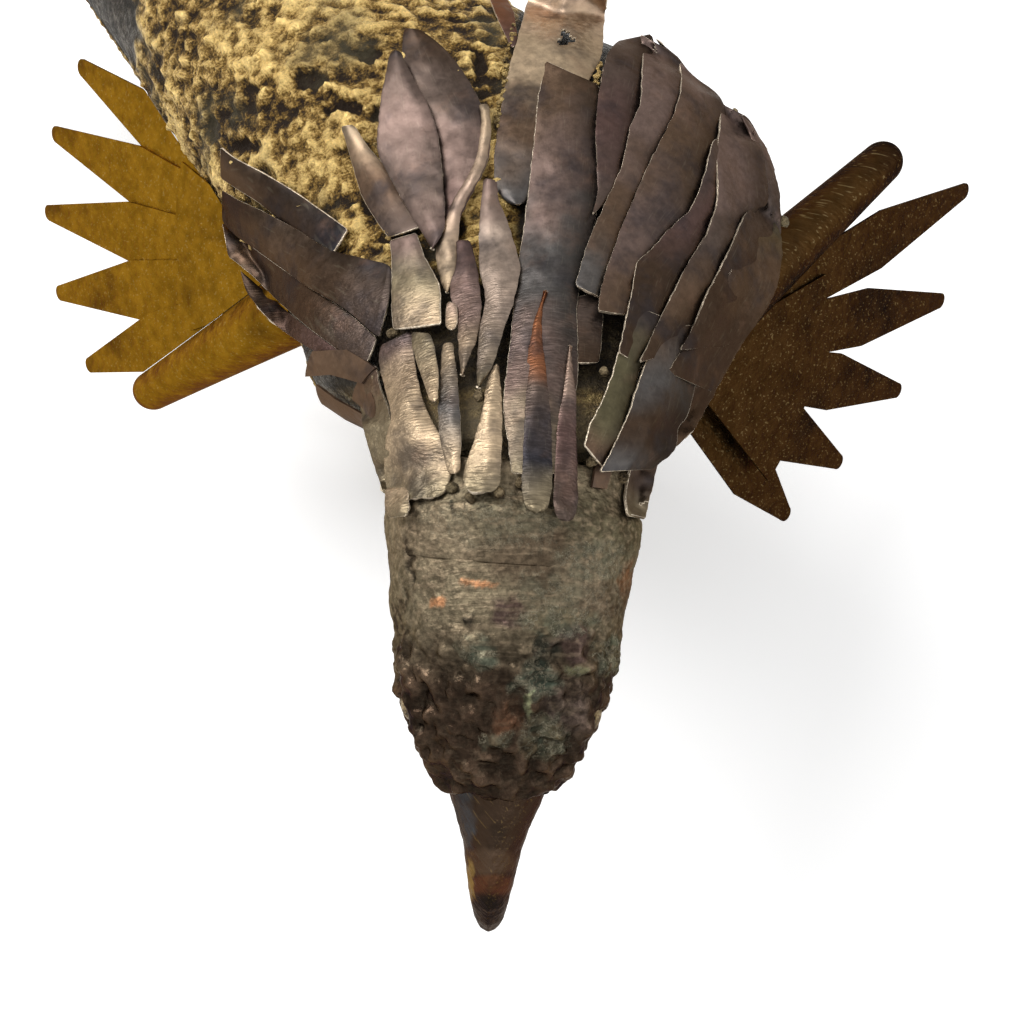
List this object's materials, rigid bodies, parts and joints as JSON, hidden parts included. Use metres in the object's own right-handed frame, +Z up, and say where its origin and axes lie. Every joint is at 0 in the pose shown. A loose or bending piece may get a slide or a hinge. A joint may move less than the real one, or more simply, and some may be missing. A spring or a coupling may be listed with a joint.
{
  "type": "bird of prey sculpture",
  "caption": "Free-standing metal sculpture of a bird of prey with a hooked beak, torch-cut neck plumage, drooped wings and a fanned tail.",
  "frame": {"origin": "middle of the sculpture's footprint, on the surface that the feet stand on", "axes": "+Z up, +Y towards the tail, -Y towards the breast; the head turns towards -X"},
  "size_m": [0.4958, 0.6694, 0.3115],
  "materials": {
    "brazed_bronze": "rough brazed bronze, dark brown with worn golden high spots",
    "copper_strip": "torch-cut sheet with mauve-brown heat tints and bare cut edges",
    "feather_bronze": "brushed golden-brown bronze sheet",
    "polished_brass": "smooth dark bronze",
    "armature_steel": "plain mild steel, welded"
  },
  "bodies": {
    "root": {"armature_hub": "armature_steel", "body_formers": "armature_steel", "body_shell": "brazed_bronze", "eye_left": "polished_brass", "eye_right": "polished_brass", "foot_left": "brazed_bronze", "foot_right": "brazed_bronze", "head_former": "armature_steel", "head_shell": "brazed_bronze", "hip_block": "armature_steel", "leg_rods": "armature_steel", "lower_beak": "brazed_bronze", "neck_bar": "armature_steel", "primary_left_1": "feather_bronze", "primary_left_2": "feather_bronze", "primary_left_3": "feather_bronze", "primary_left_4": "feather_bronze", "primary_left_5": "feather_bronze", "primary_right_1": "feather_bronze", "primary_right_2": "feather_bronze", "primary_right_3": "feather_bronze", "primary_right_4": "feather_bronze", "primary_right_5": "feather_bronze", "spine_bar": "armature_steel", "strip_blade": "copper_strip", "strip_collar_fork": "copper_strip", "strip_collar_square": "copper_strip", "strip_curl": "copper_strip", "strip_flank_lower": "copper_strip", "strip_flank_middle": "copper_strip", "strip_flank_upper": "copper_strip", "strip_holed": "copper_strip", "strip_leaf": "copper_strip", "strip_leaf_back": "copper_strip", "strip_nape_pale": "copper_strip", "strip_shoulder_fifth": "copper_strip", "strip_shoulder_first": "copper_strip", "strip_shoulder_fourth": "copper_strip", "strip_shoulder_second": "copper_strip", "strip_shoulder_sixth": "copper_strip", "strip_shoulder_third": "copper_strip", "strip_spine_long": "copper_strip", "strips_collar_narrow": "copper_strip", "strips_left_neck": "copper_strip", "strips_nape_round": "copper_strip", "strips_right_neck": "copper_strip", "strips_throat": "copper_strip", "tail_feathers": "feather_bronze", "talons_left": "polished_brass", "talons_right": "polished_brass", "tarsus_left": "brazed_bronze", "tarsus_right": "brazed_bronze", "thigh_left": "brazed_bronze", "thigh_right": "brazed_bronze", "upper_beak": "brazed_bronze", "wing_arm_left": "feather_bronze", "wing_arm_right": "feather_bronze", "wing_cover_left": "feather_bronze", "wing_cover_right": "feather_bronze"}
  },
  "joints": []
}
